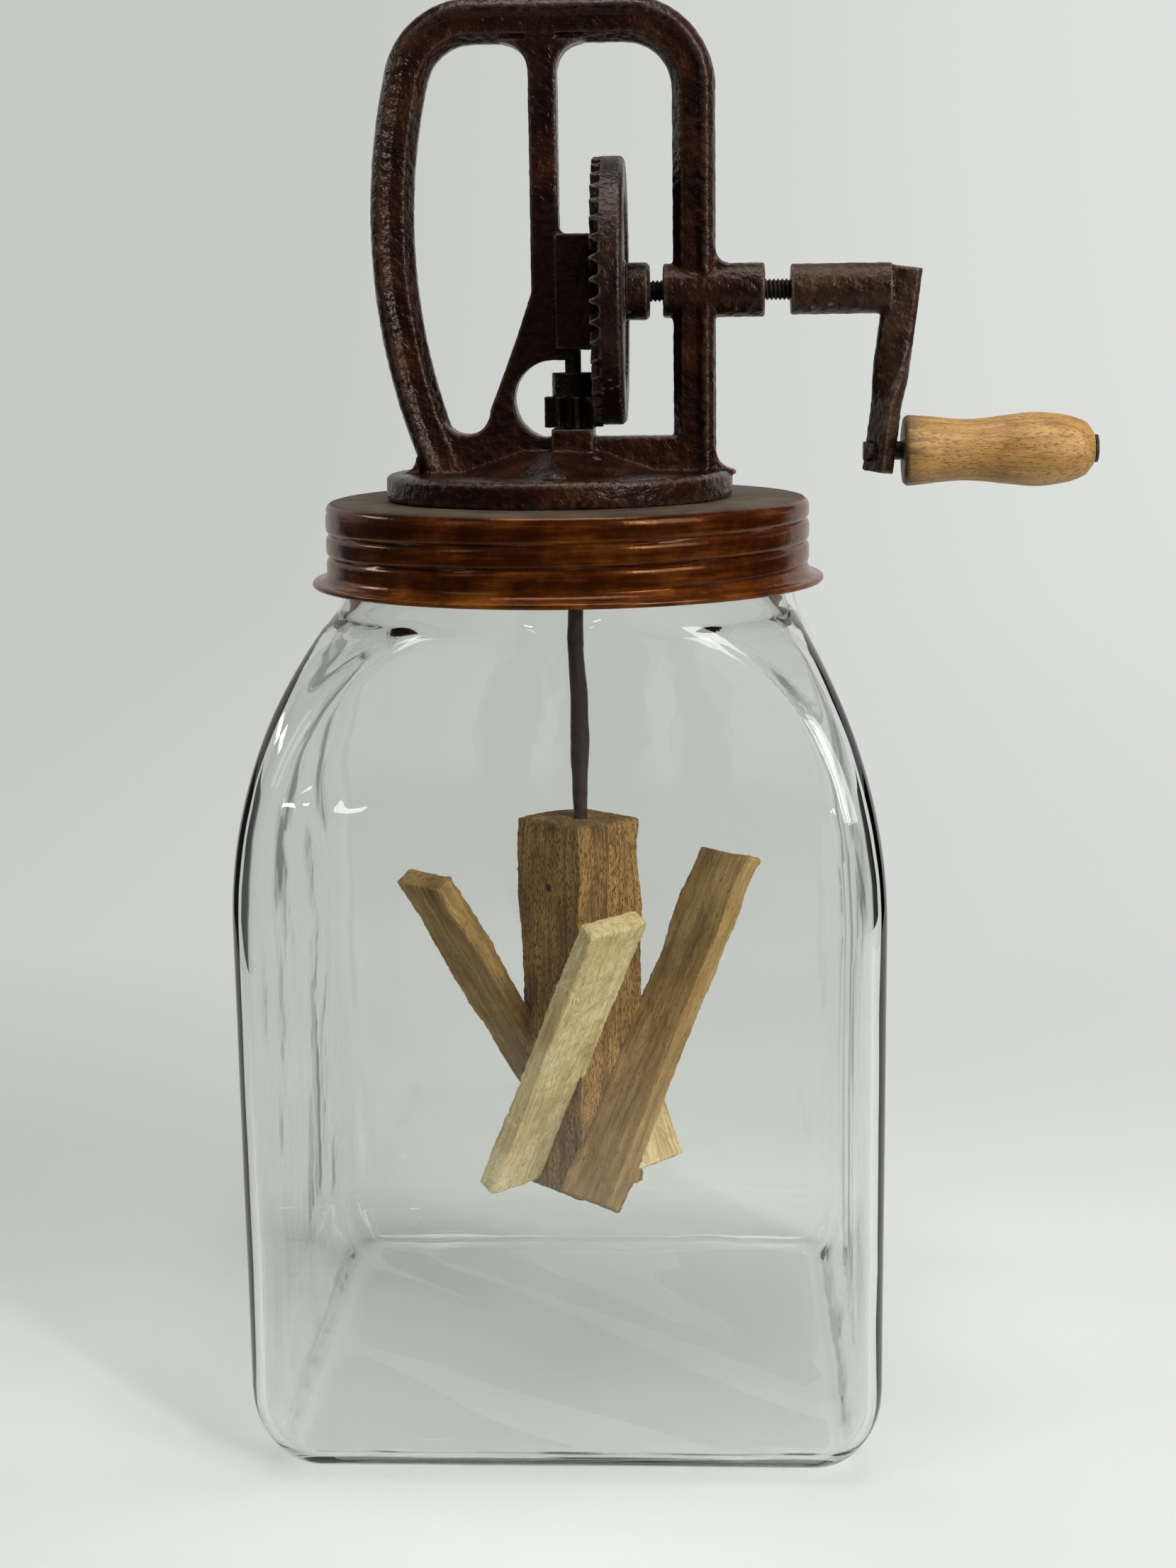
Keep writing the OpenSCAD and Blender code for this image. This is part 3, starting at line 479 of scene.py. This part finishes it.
def oiled_lid_sheet():
    """Rolled steel sheet, brown and oiled: copper-orange streaks round the skirt, painted lighter and more
    orange towards its foot as painted light, and a dull grey-brown top.
    """
    m = new_material("oiled_rusty_sheet_steel")
    place = add(m, "ShaderNodeTexCoord").outputs["Object"]
    split = add(m, "ShaderNodeSeparateXYZ", {"Vector": place})
    front = add(m, "ShaderNodeMath", {0: split.outputs["Y"], 1: -1.0}, operation="MULTIPLY")
    angle = add(m, "ShaderNodeMath", {0: split.outputs["X"], 1: front.outputs[0]}, operation="ARCTAN2")
    round_mm = add(m, "ShaderNodeMath", {0: angle.outputs[0], 1: LID_R * MM}, operation="MULTIPLY")
    skirt = add(m, "ShaderNodeCombineXYZ", {"X": round_mm.outputs[0], "Y": split.outputs["Z"]})
    along = add(m, "ShaderNodeMapping", {
        "Vector": skirt.outputs["Vector"], "Scale": (1 / (24 * MM), 1 / (2.4 * MM), 1)})
    streak = add(m, "ShaderNodeTexNoise", {
        "Vector": along.outputs["Vector"], "Scale": 1.0, "Detail": 5.0, "Roughness": 0.6})
    blotch = add(m, "ShaderNodeTexNoise", {
        "Vector": place, "Scale": 1 / (13 * MM), "Detail": 6.0, "Roughness": 0.62})
    both = add(m, "ShaderNodeMath", {0: streak.outputs["Fac"], 1: blotch.outputs["Fac"]}, operation="ADD")
    # Painted light: the skirt is coloured lighter and more orange towards its foot
    low = add(m, "ShaderNodeMapRange", {
        "Value": split.outputs["Z"], "From Min": LID_FOOT * MM, "From Max": (LID_FOOT + 9) * MM,
        "To Min": 0.09, "To Max": 0.0})
    half = add(m, "ShaderNodeMath", {
        0: both.outputs[0], 1: 0.5, 2: low.outputs["Result"]}, operation="MULTIPLY_ADD")
    copper = add(m, "ShaderNodeValToRGB", {"Fac": half.outputs[0]},
                 stops=[(0.34, "#230c02"), (0.48, "#3a1705"), (0.58, "#582b0a"), (0.7, "#854f1a")])
    dull = add(m, "ShaderNodeValToRGB", {"Fac": blotch.outputs["Fac"]},
               stops=[(0.35, "#3b332b"), (0.6, "#574c40")])
    top = add(m, "ShaderNodeMapRange", {
        "Value": split.outputs["Z"], "From Min": (LID_TOP - 0.8) * MM, "From Max": (LID_TOP - 0.2) * MM})
    mixed = add(m, "ShaderNodeMix", {
        "Factor": top.outputs["Result"], 6: copper.outputs["Color"], 7: dull.outputs["Color"]},
                data_type="RGBA")
    shine = add(m, "ShaderNodeMapRange", {"Value": top.outputs["Result"], "To Min": 0.2, "To Max": 0.6})
    fine = add(m, "ShaderNodeTexNoise", {"Vector": place, "Scale": 1 / (4 * MM), "Detail": 3.0})
    rough = add(m, "ShaderNodeBump", {"Height": fine.outputs["Fac"], "Distance": 0.22 * MM, "Strength": 0.6})
    skin = add(m, "ShaderNodeBsdfPrincipled", {
        "Base Color": mixed.outputs[2], "Roughness": shine.outputs["Result"], "Metallic": 0.2,
        "Specular Tint": linear("#d3a271"), "Normal": rough.outputs["Normal"]})
    add(m, "ShaderNodeOutputMaterial", {"Surface": skin.outputs["BSDF"]})
    return m


def wood(name, turn, dark, middle, light, grain, pores, roughness, stain=None):
    """Bare wood: fibres along the stick, short dark pores, a dry face, and a greasy dark stain at one end of
    the grip. The grain is its width in mm, and a higher pores value gives more of them."""
    m = new_material(name)
    place = add(m, "ShaderNodeTexCoord").outputs["Object"]
    along = add(m, "ShaderNodeMapping", {
        "Vector": place, "Rotation": turn, "Scale": (grain * MM, grain * MM, 14 * grain * MM)},
                vector_type="TEXTURE")
    lines = add(m, "ShaderNodeTexNoise", {
        "Vector": along.outputs["Vector"], "Scale": 1.0, "Detail": 5.0, "Roughness": 0.7})
    blotch = add(m, "ShaderNodeTexNoise", {"Vector": place, "Scale": 1 / (18 * MM), "Detail": 4.0})
    both = add(m, "ShaderNodeMix", {"Factor": 0.35, 2: lines.outputs["Fac"], 3: blotch.outputs["Fac"]})
    colour = add(m, "ShaderNodeValToRGB", {"Fac": both.outputs[0]},
                 stops=[(0.36, dark), (0.5, middle), (0.64, light)])
    pore_map = add(m, "ShaderNodeMapping", {
        "Vector": place, "Rotation": turn, "Scale": (0.4 * MM, 0.4 * MM, 1.8 * MM)}, vector_type="TEXTURE")
    pore = add(m, "ShaderNodeTexNoise", {"Vector": pore_map.outputs["Vector"], "Scale": 1.0, "Detail": 3.0})
    pore_mask = add(m, "ShaderNodeMapRange", {
        "Value": pore.outputs["Fac"], "From Min": pores, "From Max": pores + 0.08})
    mixed = add(m, "ShaderNodeMix", {
        "Factor": pore_mask.outputs["Result"], 6: linear(dark), 7: colour.outputs["Color"]},
                data_type="RGBA").outputs[2]
    if stain:
        split = add(m, "ShaderNodeSeparateXYZ", {"Vector": place})
        ragged = add(m, "ShaderNodeMath", {
            0: lines.outputs["Fac"], 1: 14 * MM, 2: split.outputs["X"]}, operation="MULTIPLY_ADD")
        greasy = add(m, "ShaderNodeMapRange", {
            "Value": ragged.outputs[0], "From Min": stain[0] * MM, "From Max": stain[1] * MM,
            "To Min": 0.85, "To Max": 0.0})
        mixed = add(m, "ShaderNodeMix", {
            "Factor": greasy.outputs["Result"], 6: mixed, 7: linear("#35240f")}, data_type="RGBA").outputs[2]
    rough = add(m, "ShaderNodeBump", {
        "Height": pore.outputs["Fac"], "Distance": 0.8 * MM, "Strength": roughness})
    skin = add(m, "ShaderNodeBsdfPrincipled", {
        "Base Color": mixed, "Roughness": roughness, "Normal": rough.outputs["Normal"]})
    add(m, "ShaderNodeOutputMaterial", {"Surface": skin.outputs["BSDF"]})
    return m


def dress(piece, material, body=None, node=None):
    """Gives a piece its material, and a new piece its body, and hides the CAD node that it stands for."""
    piece.data.materials.clear()
    piece.data.materials.append(material)
    if body:
        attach(piece, body)
    if node:
        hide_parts(node)


def paper_sweep():
    """White paper that lies under the jar and curves up behind it. It is painted dark in front, as painted
    shade that only reflections see from the camera's place. It is painted darker on the left and lighter on
    the right, as painted light from the right. Its far part glows in its own colour for camera, glossy and
    transmission rays, so the background doesn't fade with the light."""
    start_fresh()
    bpy.ops.mesh.primitive_plane_add(size=1)
    sweep = bpy.context.object
    sweep.name = sweep.data.name = "paper_sweep"
    bpy.ops.object.mode_set(mode="EDIT")
    bpy.ops.transform.resize(value=(PAPER_W, PAPER_L, 1))
    bpy.ops.transform.translate(value=(0, PAPER_SHIFT, 0))
    bpy.ops.mesh.select_mode(type="EDGE")
    bpy.ops.mesh.select_all(action="DESELECT")
    bpy.ops.object.mode_set(mode="OBJECT")
    points = sweep.data.vertices
    back = PAPER_L / 2 + PAPER_SHIFT - MM
    for edge in sweep.data.edges:
        edge.select = all(points[i].co.y > back for i in edge.vertices)
    bpy.ops.object.mode_set(mode="EDIT")
    bpy.ops.mesh.extrude_region_move(TRANSFORM_OT_translate={"value": (0, 0, PAPER_WALL)})
    bpy.ops.mesh.select_all(action="DESELECT")
    bpy.ops.object.mode_set(mode="OBJECT")
    points = sweep.data.vertices
    for edge in sweep.data.edges:
        edge.select = all(points[i].co.y > back and points[i].co.z < MM for i in edge.vertices)
    bpy.ops.object.mode_set(mode="EDIT")
    bpy.ops.mesh.bevel(offset=PAPER_BEND, segments=24, affect="EDGES")
    bpy.ops.object.mode_set(mode="OBJECT")
    soften(sweep)
    m = new_material("matt_white_paper")
    place = add(m, "ShaderNodeTexCoord").outputs["Object"]
    split = add(m, "ShaderNodeSeparateXYZ", {"Vector": place})
    # Painted light: the paper is darker on the left and lighter on the right, as if lit from the right
    side = add(m, "ShaderNodeMapRange", {"Value": split.outputs["X"], "From Min": -0.6, "From Max": 0.7})
    paper = add(m, "ShaderNodeValToRGB", {"Fac": side.outputs["Result"]},
                stops=[(0, "#d2d4d0"), (1, "#e8e9e6")])
    # Painted shade: the paper in front is dark, and only reflections see it
    near = add(m, "ShaderNodeMapRange", {"Value": split.outputs["Y"], "From Min": -0.55, "From Max": -0.3})
    paper_with_painted_light_and_shade = add(m, "ShaderNodeMix", {
        "Factor": near.outputs["Result"], 6: linear("#4c4e4c"), 7: paper.outputs["Color"]}, data_type="RGBA")
    skin = add(m, "ShaderNodeBsdfPrincipled", {
        "Base Color": paper_with_painted_light_and_shade.outputs[2], "Roughness": 0.9, "Specular IOR Level": 0.1})
    # The far part's glow carries the same painted light, darker on the left and lighter on the right
    glow_with_painted_light = add(m, "ShaderNodeValToRGB", {"Fac": side.outputs["Result"]},
               stops=[(0, "#c6c8c4"), (1, "#dfe1de")])
    glow = add(m, "ShaderNodeEmission", {"Color": glow_with_painted_light.outputs["Color"], "Strength": 1.0})
    rays = add(m, "ShaderNodeLightPath").outputs
    seen = add(m, "ShaderNodeMath", {0: rays["Is Camera Ray"], 1: rays["Is Glossy Ray"]}, operation="ADD")
    shown = add(m, "ShaderNodeMath", {0: seen.outputs[0], 1: rays["Is Transmission Ray"]},
                operation="ADD", use_clamp=True)
    far = add(m, "ShaderNodeMapRange", {"Value": split.outputs["Y"], "From Min": 0.08, "From Max": 0.5})
    share = add(m, "ShaderNodeMath", {0: shown.outputs[0], 1: far.outputs["Result"]}, operation="MULTIPLY")
    paper_wall = add(m, "ShaderNodeMixShader", {
        0: share.outputs[0], 1: skin.outputs["BSDF"], 2: glow.outputs["Emission"]})
    add(m, "ShaderNodeOutputMaterial", {"Surface": paper_wall.outputs["Shader"]})
    sweep.data.materials.append(m)


def dark_card(name, x, colour):
    """A dark felt card beside the jar that draws dark lines along the glass edges. It isn't seen directly."""
    start_fresh()
    bpy.ops.mesh.primitive_cube_add(size=1)
    card = bpy.context.object
    card.name = card.data.name = name
    bpy.ops.object.mode_set(mode="EDIT")
    bpy.ops.transform.resize(value=CARD_SIZE)
    bpy.ops.transform.translate(value=(x, CARD_Y, CARD_Z))
    bpy.ops.mesh.bevel(offset=0.003, segments=2, affect="EDGES")
    bpy.ops.object.mode_set(mode="OBJECT")
    m = new_material("black_felt_" + name)
    skin = add(m, "ShaderNodeBsdfPrincipled", {
        "Base Color": linear(colour), "Roughness": 1.0, "Specular IOR Level": 0.0})
    add(m, "ShaderNodeOutputMaterial", {"Surface": skin.outputs["BSDF"]})
    card.data.materials.append(m)
    card.visible_camera = card.visible_shadow = False


def soft_lamp(name, place, aim, width, height, power):
    """A flat lamp at a place, turned to its aim."""
    lamp = bpy.data.lights.new(name, "AREA")
    lamp.shape = "RECTANGLE"
    lamp.size, lamp.size_y, lamp.energy = width, height, power
    holder = bpy.data.objects.new(name, lamp)
    holder.location = place
    holder.rotation_euler = (Vector(aim) - Vector(place)).to_track_quat("-Z", "Y").to_euler()
    bpy.context.scene.collection.objects.link(holder)


def photo_camera():
    """The camera at the photograph's place, turned by its pitch, yaw and roll."""
    lens = bpy.data.cameras.new("photo_camera")
    lens.sensor_fit = "VERTICAL"
    lens.sensor_height = SENSOR_MM
    lens.lens = FOCAL_PX / PHOTO_H * SENSOR_MM
    lens.clip_start = 0.01
    right = Vector((math.cos(CAMERA_YAW), -math.sin(CAMERA_YAW), 0))
    ahead = Vector((math.sin(CAMERA_YAW), math.cos(CAMERA_YAW), 0))
    up = Vector((0, 0, 1))
    view = ahead * math.cos(CAMERA_PITCH) - up * math.sin(CAMERA_PITCH)
    top = ahead * math.sin(CAMERA_PITCH) + up * math.cos(CAMERA_PITCH)
    x = right * math.cos(CAMERA_ROLL) + top * math.sin(CAMERA_ROLL)
    y = top * math.cos(CAMERA_ROLL) - right * math.sin(CAMERA_ROLL)
    turn = Matrix((x, y, -view)).transposed().to_4x4()
    holder = bpy.data.objects.new("photo_camera", lens)
    holder.matrix_world = Matrix.Translation(Vector(CAMERA_PLACE) * MM) @ turn
    bpy.context.scene.collection.objects.link(holder)
    bpy.context.scene.camera = holder


# The fifth colour of each rusted casting is the paler colour on its ridges: partly wear, partly painted
# highlight
FINISHES = {
    "frame_iron": rusted_casting("oiled_rusty_cast_iron", "#110501", "#240d04", "#3f1e0c", "#7d6f66", 0.24),
    "gear_iron": rusted_casting("black_oiled_cast_iron", "#0e0502", "#1c0b04", "#321c0f", "#8a7b70", 0.3),
    "crank_iron": rusted_casting("worn_brown_iron", "#1d0e07", "#332012", "#5a4a3c", "#8f867c", 0.34),
    "grip_wood": wood("turned_beech_grip", (0, math.pi / 2, 0), "#7a5320", "#b0843f", "#c99a58",
                      1.6, 0.36, 0.45, [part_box("crank_grip")[0].x / MM + reach for reach in GRIP_STAIN]),
    "block_wood": wood("rough_sawn_brown_wood", (0, 0, 0), "#543a16", "#98733a", "#bd9656", 2.0, 0.41, 0.85),
}
dark_steel = rusted_casting("dark_rusty_steel", "#0c0a08", "#19130e", "#2b2018", "#4a4038", 0.36)
# Old rubber: dull and mottled brown, which the wood's pattern gives when drawn wide and almost without pores
seal_rubber = wood("aged_seal_rubber", (0, 0, 0), "#3a2418", "#5a3a28", "#6a4a36", 6, 0.2, 0.8)

dress(make_jar(), pressed_glass(), "jar", "glass_jar")
dress(make_lid(), oiled_lid_sheet(), "head", "screw_lid")
dress(make_threaded_shaft(), dark_steel, "crank", "drive_shaft")
for name, node, voxel, passes, grain, depth, keep, finish, body, slot in CASTINGS:
    dress(cast_copy(name, node, voxel, passes, grain, depth, keep), FINISHES[finish], body, node)
for kind, (lean, dark, middle, light, grain, pores, sides) in PADDLES.items():
    for side, facing in sides:
        turn = (math.radians(lean), 0, math.radians(facing))
        timber = wood("split_" + kind + "_wood_" + side, turn, dark, middle, light, grain, pores,
                      STICK_ROUGHNESS)
        stick = cast_copy("split_stick_" + side, "paddle_" + side, *STICK)
        dress(stick, timber, "dasher", "paddle_" + side)
dress(NODES["lid_liner"], seal_rubber)
for node in ("frame_screws", "frame_nuts", "grip_spindle", "dasher_rod", "pinion_pin", "block_pin"):
    dress(NODES[node], dark_steel)

paper_sweep()
dark_card("card_left", -0.62, "#4a4d4b")
dark_card("card_right", 0.66, "#1c1f1d")
for lamp in LAMPS:
    soft_lamp(*lamp)
photo_camera()

world = bpy.data.worlds.new("studio")
world.use_nodes = True
sky = world.node_tree.nodes["Background"].inputs
sky["Color"].default_value = linear("#d2d4d1")
sky["Strength"].default_value = WORLD_STRENGTH
bpy.context.scene.world = world
bpy.context.scene.view_settings.view_transform = "Standard"
